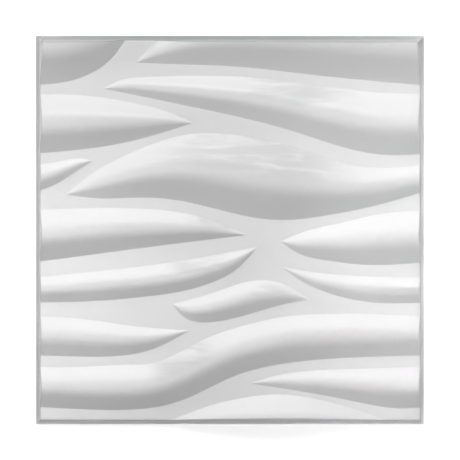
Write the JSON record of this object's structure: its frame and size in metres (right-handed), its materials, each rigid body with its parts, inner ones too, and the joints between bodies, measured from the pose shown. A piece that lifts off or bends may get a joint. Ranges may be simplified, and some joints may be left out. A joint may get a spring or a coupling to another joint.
{
  "type": "wall panel tile",
  "caption": "Square thermoformed wall panel whose face has long leaf-shaped swells on a flat ground, with a narrow flat rim and an open hollow back.",
  "frame": {"origin": "middle of the rim's underside, on the floor it lies on", "axes": "+X along the swells, +Y up the face as it hangs, +Z out of the show face"},
  "size_m": [0.5, 0.5, 0.0315],
  "materials": {
    "sheet": "white, smooth, satin, thermoformed"
  },
  "bodies": {
    "root": {"wave_panel": "sheet"}
  },
  "joints": []
}
